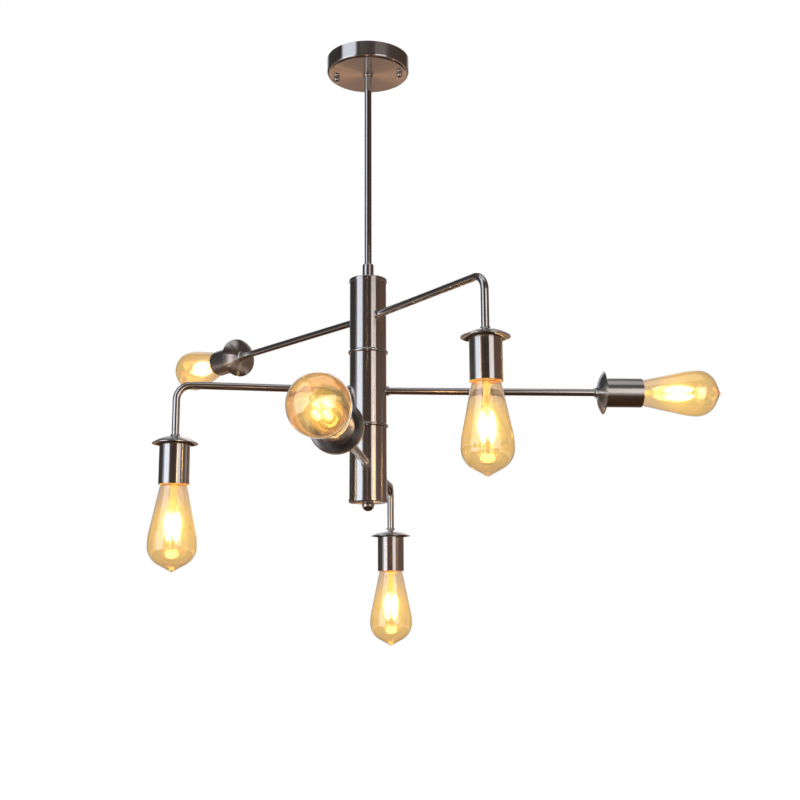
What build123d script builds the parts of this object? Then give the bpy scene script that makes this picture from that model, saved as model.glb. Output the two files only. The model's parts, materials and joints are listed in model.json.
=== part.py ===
"""Hanging chandelier: a column of three turning tiers, each with a straight and a bent lamp arm.

Millimetres. The origin is the ceiling plane at the middle of the canopy, Z is up and X runs along
the crossbar that carries the canopy. Every lamp is drawn in its own plane: local X is the radius and
local Y runs from the rim of the lamp's disc (0) towards the tip of the bulb.
"""
import os
from dataclasses import dataclass
from math import cos, radians, sin, sqrt, tan

from build123d import *

# Fits between neighbouring pieces
run_fit = 0.05
free_gap = 0.3

# Sheet, tube and thread sizes shared by the fixture
sheet = 1.0
tube_r = 5.0
bore_r = 3.0
spigot_r = 4.3
spigot_hole_r = spigot_r + run_fit

# Ceiling canopy, its crossbar and the two ball nuts
canopy_r = 58.5
canopy_h = 23.0
canopy_edge_r = 4.0
crossbar_length = 108.0
crossbar_width = 14.0
crossbar_t = 2.0
box_slot_spacing = 69.85
box_slot_length = 12.0
box_slot_width = 4.6
ball_nut_spacing = 91.0
ball_nut_r = 4.2
ball_nut_sink = 1.0
screw_r = 2.0
screw_in_nut = 5.0

# Stem from the canopy to the column, and the collar that joins it to the centre rod
stem_length = 305.0
stem_above_floor = 9.0
washer_r = 9.0
washer_t = 1.0
nut_flats = 13.0
nut_t = 4.0
collar_r = 7.8
collar_h = 22.5
collar_shoulder_r = 2.5
collar_stem_depth = 12.0
collar_web = 0.5

# Column: three tube segments between two caps and two half-round beads
column_r = 25.4
column_wall = 1.5
segment_length = 97.0
bead_h = 5.0
bead_proud = 2.1
cap_h = 4.5
cap_proud = 0.9
cap_edge_r = 1.8
register_depth = 4.0
register_wall = 2.5
rod_r = 4.9
finial_r = 8.2
finial_drop = 3.0
rod_in_finial = 6.0

# Arms, measured from the column's axis to the lamp
tier_names = ("upper", "middle", "lower")
straight_azimuths = (139.0, 12.0, 273.6)
bent_offsets = (-6.5, 7.0, -1.9)
straight_reach = 325.0
bent_reach = 256.0
bend_r = 20.0
lamp_drop = 79.0
arm_below_middle = 2.0
seat_r = 6.8
seat_h = 3.0
arm_inner_end = 14.0

# Lamp: domed disc, cup, lampholder
disc_r = 30.0
disc_flat_depth = 8.0
disc_flat_r = 10.0
disc_neck_h = 3.5
disc_neck_wall = 0.9
disc_rim = 0.8
disc_dome_rise = 1.35
cup_r = 20.15
cup_length = 53.3
cup_floor = 1.5
cup_top = -1.0
cup_edge_r = 3.0
cup_boss_r = 8.0
spigot_in_lamp = 5.0
holder_r = 17.0
holder_end = 47.5
socket_floor = 22.0
shell_t = 0.6
shell_lip_r = 7.0
contact_tab_r = 4.0

# Bulb: teardrop glass on a screw base, with upright filaments on a glass stem
bulb_r = 32.0
bulb_tip = 166.4
glass_t = 1.0
belly_from_tip = 34.0
crown_r = 17.0
crown_from_tip = 9.2
cone_tilt = 28.1
pip_r = 2.8
taper_r = 29.8
taper_from_tip = 54.0
shoulder_r = 18.3
shoulder_from_tip = 109.0
neck_r = 13.2
neck_from_tip = 117.5
base_r = 12.9
base_wall = 0.8
base_end = 24.4
contact_r = 4.5
contact_h = 1.6
insulator_h = 5.0
glass_seat_gap = 0.2
flare_h = 1.0
stem_foot_r = 5.5
stem_tip_r = 2.6
stem_tip_from_tip = 80.0
filament_count = 4
filament_r = 0.9
filament_ring_r = 8.0
filament_top_from_tip = 76.0
filament_length = 38.0
spider_t = 0.8

# Places worked out from the sizes above
canopy_floor_z = -canopy_h + sheet
column_top_z = -canopy_h - stem_length
column_inner_r = column_r - column_wall
register_r = column_inner_r - run_fit
rod_hole_r = rod_r + run_fit
segment_pitch = segment_length + bead_h
column_h = 2 * cap_h + 3 * segment_length + 2 * bead_h
column_bottom_z = column_top_z - column_h
arm_shoulder = column_r + seat_h
disc_flange = disc_flat_depth + sheet
neck_from_rim = bulb_tip - neck_from_tip
base_top = neck_from_rim - glass_seat_gap
shell_inner_r = base_r + run_fit
shell_outer_r = shell_inner_r + shell_t

up = Vector(0, 0, 1)


@dataclass(frozen=True)
class Lamp:
    """One lamp's drawing plane and axis, and the arm that carries it."""

    name: str
    profile: Plane
    axis: Axis


@dataclass(frozen=True)
class Tier:
    """One tier: its column segment's top, its arms' height and directions, and its two lamps."""

    name: str
    top_z: float
    arm_z: float
    straight: Vector
    bent: Vector
    lamps: tuple


def heading(azimuth):
    """Level unit direction at an azimuth in degrees, counted from X towards Y."""
    return Vector(cos(radians(azimuth)), sin(radians(azimuth)), 0)


def drawing_plane(origin, across, along):
    """Plane whose local X is across and whose local Y is along."""
    return Plane(origin=origin, x_dir=across, z_dir=across.cross(along))


def make_tier(index):
    """Lay out one tier and its lamps from its place in the column."""
    top_z = column_top_z - cap_h - index * segment_pitch
    arm_z = top_z - segment_length / 2 - arm_below_middle
    straight = heading(straight_azimuths[index])
    bent = heading(straight_azimuths[index] + 180 + bent_offsets[index])
    level = up * arm_z
    straight_rim = level + straight * straight_reach
    bent_rim = level + bent * bent_reach - up * lamp_drop
    lamps = (
        Lamp(f"{tier_names[index]}_straight", drawing_plane(straight_rim, up, straight),
             Axis(straight_rim, straight)),
        Lamp(f"{tier_names[index]}_bent", drawing_plane(bent_rim, bent, up * -1),
             Axis(bent_rim, up * -1)),
    )
    return Tier(tier_names[index], top_z, arm_z, straight, bent, lamps)


def keep(builder, name):
    """Label a finished sub-part and write its file."""
    builder.part.label = name
    export_step(builder.part, f"parts/{name}.step")


def ring(outer, inner):
    """Draw a ring in the current sketch."""
    Circle(outer)
    Circle(inner, mode=Mode.SUBTRACT)


def build_crossbar():
    """Flat ceiling strip with two junction-box slots and two holes for the canopy's screws."""
    with BuildPart() as crossbar:
        with BuildSketch():
            SlotOverall(crossbar_length, crossbar_width)
            with Locations((-box_slot_spacing / 2, 0), (box_slot_spacing / 2, 0)):
                SlotOverall(box_slot_length, box_slot_width, mode=Mode.SUBTRACT)
            with Locations((-ball_nut_spacing / 2, 0), (ball_nut_spacing / 2, 0)):
                Circle(screw_r + run_fit, mode=Mode.SUBTRACT)
        extrude(amount=-crossbar_t)
    keep(crossbar, "crossbar")


def build_canopy():
    """Pressed round dish, open to the ceiling, with holes for the stem and the two screws."""
    inner_edge_r = canopy_edge_r - sheet
    with BuildPart() as canopy:
        with BuildSketch(Plane.XZ):
            with BuildLine():
                Polyline((canopy_r - sheet, 0), (canopy_r, 0), (canopy_r, -canopy_h + canopy_edge_r))
                TangentArc((canopy_r, -canopy_h + canopy_edge_r), (canopy_r - canopy_edge_r, -canopy_h),
                           tangent=(0, -1))
                Polyline((canopy_r - canopy_edge_r, -canopy_h), (spigot_hole_r, -canopy_h),
                         (spigot_hole_r, canopy_floor_z), (canopy_r - canopy_edge_r, canopy_floor_z))
                TangentArc((canopy_r - canopy_edge_r, canopy_floor_z),
                           (canopy_r - sheet, canopy_floor_z + inner_edge_r), tangent=(1, 0))
                Line((canopy_r - sheet, canopy_floor_z + inner_edge_r), (canopy_r - sheet, 0))
            make_face()
        revolve(axis=Axis.Z)
        with BuildSketch(Plane.XY.offset(-canopy_h)):
            with Locations((-ball_nut_spacing / 2, 0), (ball_nut_spacing / 2, 0)):
                Circle(screw_r + free_gap)
        extrude(amount=sheet, mode=Mode.SUBTRACT)
    keep(canopy, "canopy")


def build_canopy_screws():
    """The two screws that hang from the crossbar and carry the canopy's ball nuts."""
    with BuildPart() as canopy_screws:
        with BuildSketch():
            with Locations((-ball_nut_spacing / 2, 0), (ball_nut_spacing / 2, 0)):
                Circle(screw_r)
        extrude(amount=-(canopy_h + screw_in_nut))
    keep(canopy_screws, "canopy_screws")


def build_ball_nuts():
    """Two ball nuts, flat where they bear on the canopy, each with a blind screw hole."""
    with BuildPart() as ball_nuts:
        for side in (-1, 1):
            middle = Plane(origin=(side * ball_nut_spacing / 2, 0, -canopy_h - ball_nut_r + ball_nut_sink),
                           x_dir=(1, 0, 0), z_dir=(0, -1, 0))
            flat_r = sqrt(ball_nut_r**2 - (ball_nut_r - ball_nut_sink) ** 2)
            flat_y = ball_nut_r - ball_nut_sink
            with BuildSketch(middle):
                with BuildLine():
                    Line((0, -ball_nut_r), (0, flat_y))
                    Line((0, flat_y), (flat_r, flat_y))
                    ThreePointArc((flat_r, flat_y), (ball_nut_r, 0), (0, -ball_nut_r))
                make_face()
            revolve(axis=Axis(middle.origin, (0, 0, 1)))
        with BuildSketch(Plane.XY.offset(-canopy_h)):
            with Locations((-ball_nut_spacing / 2, 0), (ball_nut_spacing / 2, 0)):
                Circle(screw_r + run_fit)
        extrude(amount=-(screw_in_nut + run_fit), mode=Mode.SUBTRACT)
    keep(ball_nuts, "ball_nuts")


def build_stem():
    """Tube from the canopy to the collar, with a thinner threaded end through the canopy's floor."""
    bottom_z = column_top_z + collar_h - collar_stem_depth
    with BuildPart() as stem:
        with BuildSketch(Plane.XY.offset(bottom_z)):
            ring(tube_r, bore_r)
        extrude(amount=-canopy_h - bottom_z)
        with BuildSketch(Plane.XY.offset(-canopy_h)):
            ring(spigot_r, bore_r)
        extrude(amount=sheet + stem_above_floor)
    keep(stem, "stem")


def build_stem_nuts():
    """Washer and hexagon nut that hold the stem inside the canopy."""
    with BuildPart() as stem_nuts:
        with BuildSketch(Plane.XY.offset(canopy_floor_z)):
            ring(washer_r, spigot_hole_r)
        extrude(amount=washer_t)
        with BuildSketch(Plane.XY.offset(canopy_floor_z + washer_t)):
            RegularPolygon(nut_flats / 2, 6, major_radius=False)
            Circle(spigot_hole_r, mode=Mode.SUBTRACT)
        extrude(amount=nut_t)
    keep(stem_nuts, "stem_nuts")


def build_stem_collar():
    """Coupling with a rounded shoulder: the stem screws in from above, the centre rod from below."""
    web_top = column_top_z + collar_h - collar_stem_depth
    web_bottom = web_top - collar_web
    shoulder_z = column_top_z + collar_h - collar_shoulder_r
    with BuildPart() as stem_collar:
        with BuildSketch(Plane.XZ):
            with BuildLine():
                Polyline((rod_hole_r, column_top_z), (collar_r, column_top_z), (collar_r, shoulder_z))
                TangentArc((collar_r, shoulder_z),
                           (collar_r - collar_shoulder_r, column_top_z + collar_h), tangent=(0, 1))
                Polyline((collar_r - collar_shoulder_r, column_top_z + collar_h),
                         (tube_r + run_fit, column_top_z + collar_h), (tube_r + run_fit, web_top),
                         (bore_r, web_top), (bore_r, web_bottom), (rod_hole_r, web_bottom),
                         (rod_hole_r, column_top_z))
            make_face()
        revolve(axis=Axis.Z)
    keep(stem_collar, "stem_collar")


def build_cap(name, face_z, inward):
    """Column cap with a rounded edge and a register in the segment; inward is -1 for the top cap."""
    cap_r = column_r + cap_proud
    seat_z = face_z + inward * cap_h
    register_z = seat_z + inward * register_depth
    edge_z = face_z + inward * cap_edge_r
    with BuildPart() as cap:
        with BuildSketch(Plane.XZ):
            with BuildLine():
                Polyline((rod_hole_r, face_z), (cap_r - cap_edge_r, face_z))
                TangentArc((cap_r - cap_edge_r, face_z), (cap_r, edge_z), tangent=(1, 0))
                Polyline((cap_r, edge_z), (cap_r, seat_z), (register_r, seat_z), (register_r, register_z),
                         (register_r - register_wall, register_z), (register_r - register_wall, seat_z),
                         (rod_hole_r, seat_z), (rod_hole_r, face_z))
            make_face()
        revolve(axis=Axis.Z)
    keep(cap, name)


def build_column_beads():
    """The two half-round beads between the segments, each with a register above and below."""
    with BuildPart() as column_beads:
        for index in (1, 2):
            top = column_top_z - cap_h - index * segment_pitch + bead_h
            bottom = top - bead_h
            inner = register_r - register_wall
            with BuildSketch(Plane.XZ):
                with BuildLine():
                    ThreePointArc((column_r, bottom), (column_r + bead_proud, top - bead_h / 2),
                                  (column_r, top))
                    Polyline((column_r, top), (register_r, top), (register_r, top + register_depth),
                             (inner, top + register_depth), (inner, top), (rod_hole_r, top),
                             (rod_hole_r, bottom), (inner, bottom), (inner, bottom - register_depth),
                             (register_r, bottom - register_depth), (register_r, bottom),
                             (column_r, bottom))
                make_face()
            revolve(axis=Axis.Z)
    keep(column_beads, "column_beads")


def build_centre_rod():
    """Threaded tube through the column, from the collar to the ball finial that clamps the stack."""
    top_z = column_top_z + collar_h - collar_stem_depth - collar_web
    with BuildPart() as centre_rod:
        with BuildSketch(Plane.XY.offset(top_z)):
            ring(rod_r, bore_r)
        extrude(amount=column_bottom_z - rod_in_finial - top_z)
    keep(centre_rod, "centre_rod")


def build_ball_finial():
    """Ball nut under the column, flat where it bears on the bottom cap."""
    flat_r = sqrt(finial_r**2 - finial_drop**2)
    middle_z = column_bottom_z - finial_drop
    with BuildPart() as ball_finial:
        with BuildSketch(Plane.XZ):
            with BuildLine():
                Polyline((0, middle_z - finial_r), (0, column_bottom_z - rod_in_finial),
                         (rod_hole_r, column_bottom_z - rod_in_finial), (rod_hole_r, column_bottom_z),
                         (flat_r, column_bottom_z))
                ThreePointArc((flat_r, column_bottom_z), (finial_r, middle_z), (0, middle_z - finial_r))
            make_face()
        revolve(axis=Axis.Z)
    keep(ball_finial, "ball_finial")


def build_segment(tier):
    """Column tube of one tier, with a hole for each arm."""
    with BuildPart() as segment:
        with BuildSketch(Plane.XY.offset(tier.top_z)):
            ring(column_r, column_inner_r)
        extrude(amount=-segment_length)
        for direction in (tier.straight, tier.bent):
            with BuildSketch(Plane(origin=up * tier.arm_z, z_dir=direction)):
                Circle(spigot_hole_r)
            extrude(amount=2 * column_r, mode=Mode.SUBTRACT)
    keep(segment, f"{tier.name}_segment")


def build_arm_nuts(tier):
    """Seat rings outside the column, shaped to it, and hexagon lock nuts inside, one for each arm."""
    lock_nut_face = sqrt(column_inner_r**2 - (nut_flats / sqrt(3)) ** 2) - run_fit
    with BuildPart() as arm_nuts:
        for direction in (tier.straight, tier.bent):
            with BuildSketch(Plane(origin=up * tier.arm_z + direction * arm_shoulder, z_dir=direction)):
                ring(seat_r, spigot_hole_r)
            extrude(amount=-2 * seat_h)
        with BuildSketch(Plane.XY.offset(tier.top_z)):
            Circle(column_r + free_gap)
        extrude(amount=-segment_length, mode=Mode.SUBTRACT)
        for direction in (tier.straight, tier.bent):
            with BuildSketch(Plane(origin=up * tier.arm_z + direction * lock_nut_face, z_dir=direction)):
                RegularPolygon(nut_flats / 2, 6, major_radius=False)
                Circle(spigot_hole_r, mode=Mode.SUBTRACT)
            extrude(amount=-nut_t)
    keep(arm_nuts, f"{tier.name}_arm_nuts")


def build_straight_arm(tier):
    """Level tube with a threaded spigot at each end: lock nut in the column, lamp at the far end."""
    outer_shoulder = straight_reach - disc_flange
    outer_end = straight_reach + spigot_in_lamp
    with BuildPart() as straight_arm:
        with BuildSketch(drawing_plane(up * tier.arm_z, up, tier.straight)):
            with BuildLine():
                Polyline((bore_r, arm_inner_end), (spigot_r, arm_inner_end), (spigot_r, arm_shoulder),
                         (tube_r, arm_shoulder), (tube_r, outer_shoulder), (spigot_r, outer_shoulder),
                         (spigot_r, outer_end), (bore_r, outer_end), close=True)
            make_face()
        revolve(axis=Axis(up * tier.arm_z, tier.straight))
    keep(straight_arm, f"{tier.name}_straight_arm")


def build_bent_arm(tier):
    """Tube that runs out level, bends down and ends in the hanging lamp, with a spigot at each end."""
    level = up * tier.arm_z
    bend_start = level + tier.bent * (bent_reach - bend_r)
    bend_end = level + tier.bent * bent_reach - up * bend_r
    drop_end = level + tier.bent * bent_reach - up * (lamp_drop - disc_flange)
    with BuildPart() as bent_arm:
        with BuildSketch(Plane(origin=level + tier.bent * arm_inner_end, z_dir=tier.bent)):
            ring(spigot_r, bore_r)
        extrude(amount=arm_shoulder - arm_inner_end)
        with BuildSketch(Plane(origin=level + tier.bent * arm_shoulder, z_dir=tier.bent)):
            ring(tube_r, bore_r)
        extrude(amount=bent_reach - bend_r - arm_shoulder)
        with BuildSketch(Plane(origin=bend_start, z_dir=tier.bent)):
            ring(tube_r, bore_r)
        revolve(axis=Axis(bend_start - up * bend_r, up.cross(tier.bent)), revolution_arc=90)
        with BuildSketch(Plane(origin=bend_end, z_dir=up)):
            ring(tube_r, bore_r)
        extrude(amount=-(lamp_drop - disc_flange - bend_r))
        with BuildSketch(Plane(origin=drop_end, z_dir=up)):
            ring(spigot_r, bore_r)
        extrude(amount=-(disc_flange + spigot_in_lamp))
    keep(bent_arm, f"{tier.name}_bent_arm")


def build_disc(lamp):
    """Spun disc: a flared neck round the tube, a flat that the tube bears on, and a domed skirt."""
    neck_inner_r = tube_r + free_gap
    neck_outer_r = neck_inner_r + disc_neck_wall
    neck_end = -disc_flange - disc_neck_h
    neck_foot = (disc_flat_r, -disc_flange)
    with BuildPart() as disc:
        with BuildSketch(lamp.profile):
            with BuildLine():
                SagittaArc((disc_r - sheet, 0), (disc_flat_r, -disc_flat_depth), disc_dome_rise)
                Polyline((disc_flat_r, -disc_flat_depth), (spigot_hole_r, -disc_flat_depth),
                         (spigot_hole_r, -disc_flange), (neck_inner_r, -disc_flange),
                         (neck_inner_r, neck_end), (neck_outer_r, neck_end))
                TangentArc((neck_outer_r, neck_end), neck_foot, tangent=(0, 1))
                SagittaArc(neck_foot, (disc_r, -disc_rim), -disc_dome_rise)
                Polyline((disc_r, -disc_rim), (disc_r, 0), (disc_r - sheet, 0))
            make_face()
        revolve(axis=lamp.axis)
    keep(disc, f"{lamp.name}_disc")


def build_cup(lamp):
    """Straight cup round the lampholder, with a boss that spaces its floor from the disc."""
    wall_start = cup_top + cup_edge_r
    floor_top = cup_top + cup_floor
    cup_inner_r = cup_r - sheet
    with BuildPart() as cup:
        with BuildSketch(lamp.profile):
            with BuildLine():
                Polyline((spigot_hole_r, floor_top), (spigot_hole_r, -disc_flat_depth),
                         (cup_boss_r, -disc_flat_depth), (cup_boss_r, cup_top),
                         (cup_r - cup_edge_r, cup_top))
                TangentArc((cup_r - cup_edge_r, cup_top), (cup_r, wall_start), tangent=(1, 0))
                Polyline((cup_r, wall_start), (cup_r, cup_length), (cup_inner_r, cup_length),
                         (cup_inner_r, floor_top), (spigot_hole_r, floor_top))
            make_face()
        revolve(axis=lamp.axis)
    keep(cup, f"{lamp.name}_cup")


def build_lampholders(tier):
    """The tier's two ceramic lampholder bodies, which stand on the cups' floors."""
    floor_top = cup_top + cup_floor
    spigot_recess = spigot_in_lamp + free_gap
    socket_r = shell_outer_r + run_fit
    with BuildPart() as lampholders:
        for lamp in tier.lamps:
            with BuildSketch(lamp.profile):
                with BuildLine():
                    Polyline((0, spigot_recess), (spigot_hole_r, spigot_recess), (spigot_hole_r, floor_top),
                             (holder_r, floor_top), (holder_r, holder_end), (socket_r, holder_end),
                             (socket_r, socket_floor), (0, socket_floor), close=True)
                make_face()
            revolve(axis=lamp.axis)
    keep(lampholders, f"{tier.name}_lampholders")


def build_screw_shells(tier):
    """The tier's two brass screw shells, each with the centre contact that meets the bulb."""
    with BuildPart() as screw_shells:
        for lamp in tier.lamps:
            with BuildSketch(lamp.profile):
                with BuildLine():
                    Polyline((shell_lip_r, socket_floor), (shell_outer_r, socket_floor),
                             (shell_outer_r, holder_end), (shell_inner_r, holder_end),
                             (shell_inner_r, socket_floor + shell_t), (shell_lip_r, socket_floor + shell_t),
                             close=True)
                make_face()
            revolve(axis=lamp.axis)
            with BuildSketch(lamp.profile):
                with BuildLine():
                    Polyline((0, socket_floor), (contact_tab_r, socket_floor),
                             (contact_tab_r, base_end - run_fit), (0, base_end - run_fit), close=True)
                make_face()
            revolve(axis=lamp.axis)
    keep(screw_shells, f"{tier.name}_screw_shells")


def build_bulb_base(lamp):
    """Hollow screw base of a bulb: centre contact, insulator cone and shell."""
    insulator_start = base_end + contact_h
    shell_start = insulator_start + insulator_h
    with BuildPart() as base:
        with BuildSketch(lamp.profile):
            with BuildLine():
                Polyline((0, base_end), (contact_r, base_end), (contact_r, insulator_start),
                         (base_r, shell_start), (base_r, base_top), (base_r - base_wall, base_top),
                         (base_r - base_wall, shell_start + base_wall),
                         (contact_r, insulator_start + base_wall), (0, insulator_start + base_wall),
                         close=True)
            make_face()
        revolve(axis=lamp.axis)
    keep(base, f"{lamp.name}_bulb_base")


def glass_outline(inset, nose):
    """Draw the teardrop from its neck to the axis, set in by inset, with its nose at nose."""
    crown = (crown_r - inset * sin(radians(cone_tilt)),
             bulb_tip - crown_from_tip - inset * cos(radians(cone_tilt)))
    belly = (bulb_r - inset, bulb_tip - belly_from_tip)
    taper = (taper_r - inset, bulb_tip - taper_from_tip)
    shoulder = (shoulder_r - inset, bulb_tip - shoulder_from_tip)
    neck = (neck_r - inset, neck_from_rim)
    TangentArc(shoulder, neck, tangent=(shoulder[0] - taper[0], shoulder[1] - taper[1]))
    Line(shoulder, taper)
    TangentArc(belly, taper, tangent=(0, -1))
    TangentArc(belly, crown, tangent=(0, 1))
    Line(crown, nose)
    return neck


def build_bulb_glass(lamp):
    """Teardrop envelope with a sealed pip at its tip, open at the neck."""
    pip_from_tip = crown_from_tip - (crown_r - pip_r) * tan(radians(cone_tilt))
    pip = (pip_r, bulb_tip - pip_from_tip)
    inner_nose = (0, bulb_tip - crown_from_tip + crown_r * tan(radians(cone_tilt))
                  - glass_t / cos(radians(cone_tilt)))
    with BuildPart() as glass:
        with BuildSketch(lamp.profile):
            with BuildLine():
                neck = glass_outline(0, pip)
                TangentArc((0, bulb_tip), pip, tangent=(1, 0))
                Polyline((0, bulb_tip), (0, neck_from_rim), neck)
            make_face()
        revolve(axis=lamp.axis)
        with BuildSketch(lamp.profile):
            with BuildLine():
                neck = glass_outline(glass_t, inner_nose)
                Polyline(inner_nose, (0, neck_from_rim), neck)
            make_face()
        revolve(axis=lamp.axis, mode=Mode.SUBTRACT)
    keep(glass, f"{lamp.name}_bulb_glass")


def build_bulb_filaments(lamp):
    """Glass stem on a flared foot, with upright filaments held between two cross-shaped spiders."""
    foot = neck_from_rim
    flare_r = neck_r - glass_t - free_gap
    stem_tip = bulb_tip - stem_tip_from_tip
    filament_top = bulb_tip - filament_top_from_tip
    spider_width = 2 * filament_r
    spider_span = 2 * (filament_ring_r + filament_r)
    along = lamp.axis.direction
    with BuildPart() as filaments:
        with BuildSketch(lamp.profile):
            with BuildLine():
                Polyline((0, foot), (flare_r, foot), (flare_r, foot + flare_h), (stem_foot_r, foot + flare_h),
                         (stem_tip_r, stem_tip), (stem_tip_r, filament_top), (0, filament_top), close=True)
            make_face()
        revolve(axis=lamp.axis)
        for spider_at in (filament_top, filament_top + filament_length - spider_t):
            with BuildSketch(Plane(origin=lamp.axis.position + along * spider_at, z_dir=along)):
                Rectangle(spider_span, spider_width)
                Rectangle(spider_width, spider_span)
            extrude(amount=spider_t)
        with BuildSketch(Plane(origin=lamp.axis.position + along * filament_top, z_dir=along)):
            with PolarLocations(filament_ring_r, filament_count):
                Circle(filament_r)
        extrude(amount=filament_length)
    keep(filaments, f"{lamp.name}_bulb_filaments")


os.makedirs("parts", exist_ok=True)

build_crossbar()
build_canopy()
build_canopy_screws()
build_ball_nuts()
build_stem()
build_stem_nuts()
build_stem_collar()
build_cap("top_cap", column_top_z, -1)
build_cap("bottom_cap", column_bottom_z, 1)
build_column_beads()
build_centre_rod()
build_ball_finial()

for tier in [make_tier(index) for index in range(len(tier_names))]:
    build_segment(tier)
    build_arm_nuts(tier)
    build_straight_arm(tier)
    build_bent_arm(tier)
    build_lampholders(tier)
    build_screw_shells(tier)
    for lamp in tier.lamps:
        build_disc(lamp)
        build_cup(lamp)
        build_bulb_base(lamp)
        build_bulb_glass(lamp)
        build_bulb_filaments(lamp)
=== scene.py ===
"""Looks of a hanging chandelier: three turning tiers of lamp arms with lit teardrop bulbs.

Metres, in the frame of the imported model. The metal nodes keep their solids and get turned satin finishes.
Each bulb's glass, screw base and filaments are replaced by finer pieces that are drawn round the lamp's axis.
"""

import json
import logging
import math
from dataclasses import dataclass, field
from enum import Enum

import bpy
import numpy as np
from mathutils import Matrix, Vector

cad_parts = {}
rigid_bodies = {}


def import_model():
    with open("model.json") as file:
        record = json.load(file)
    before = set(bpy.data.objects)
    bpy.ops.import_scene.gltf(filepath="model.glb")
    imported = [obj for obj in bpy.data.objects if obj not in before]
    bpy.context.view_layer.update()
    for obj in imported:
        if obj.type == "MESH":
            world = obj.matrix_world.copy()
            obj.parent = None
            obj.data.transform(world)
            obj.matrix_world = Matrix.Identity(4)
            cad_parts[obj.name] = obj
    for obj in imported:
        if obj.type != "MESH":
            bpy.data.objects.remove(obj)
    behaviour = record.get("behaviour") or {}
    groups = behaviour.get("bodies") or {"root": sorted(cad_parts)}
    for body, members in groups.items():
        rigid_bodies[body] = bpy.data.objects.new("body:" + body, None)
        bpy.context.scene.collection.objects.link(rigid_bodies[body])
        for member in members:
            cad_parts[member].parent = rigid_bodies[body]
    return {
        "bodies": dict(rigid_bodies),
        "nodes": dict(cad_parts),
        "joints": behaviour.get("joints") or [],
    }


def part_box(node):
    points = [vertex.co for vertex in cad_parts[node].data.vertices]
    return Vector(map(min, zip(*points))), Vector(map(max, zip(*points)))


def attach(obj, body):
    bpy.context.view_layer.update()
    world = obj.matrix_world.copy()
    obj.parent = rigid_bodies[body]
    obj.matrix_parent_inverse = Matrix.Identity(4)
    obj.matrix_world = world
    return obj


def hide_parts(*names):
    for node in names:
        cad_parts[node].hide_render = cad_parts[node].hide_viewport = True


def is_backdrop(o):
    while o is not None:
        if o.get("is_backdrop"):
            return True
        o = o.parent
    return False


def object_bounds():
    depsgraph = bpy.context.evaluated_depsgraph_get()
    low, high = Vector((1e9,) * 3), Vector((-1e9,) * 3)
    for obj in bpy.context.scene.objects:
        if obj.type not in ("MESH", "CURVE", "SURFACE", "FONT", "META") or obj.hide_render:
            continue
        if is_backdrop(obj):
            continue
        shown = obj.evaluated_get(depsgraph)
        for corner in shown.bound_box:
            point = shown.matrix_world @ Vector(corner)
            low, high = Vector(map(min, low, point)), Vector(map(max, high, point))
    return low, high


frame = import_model()

log = logging.getLogger("chandelier")
IMAGE_SIDE = 800
SENSOR = 36.0
MM = 0.001
FULL_TURN = 2 * math.pi
NOISE_MIDDLE = (0.3, 0.7)
TONE_DRIFT = 0.12
BUMP_DEPTH = 0.1 * MM
BEND_END = 0.3
QUARTER = 0.25
PINHOLE = 1.0 * MM
TUBE_END = 0.05
ASKEW = np.array([0.31, 0.87, 0.38])

Colour = tuple[float, float, float]
Point = tuple[float, ...] | np.ndarray
Socket = bpy.types.NodeSocket
Piece = bpy.types.Object
Source = Socket | float | Colour | Vector


class Slot(Enum):
    """Material slot names of the record; nothing in this script reads them."""

    METAL = "satin_nickel"
    BASE = "nickel_base"
    GLASS = "amber_glass"
    FILAMENT = "filament"


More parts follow.
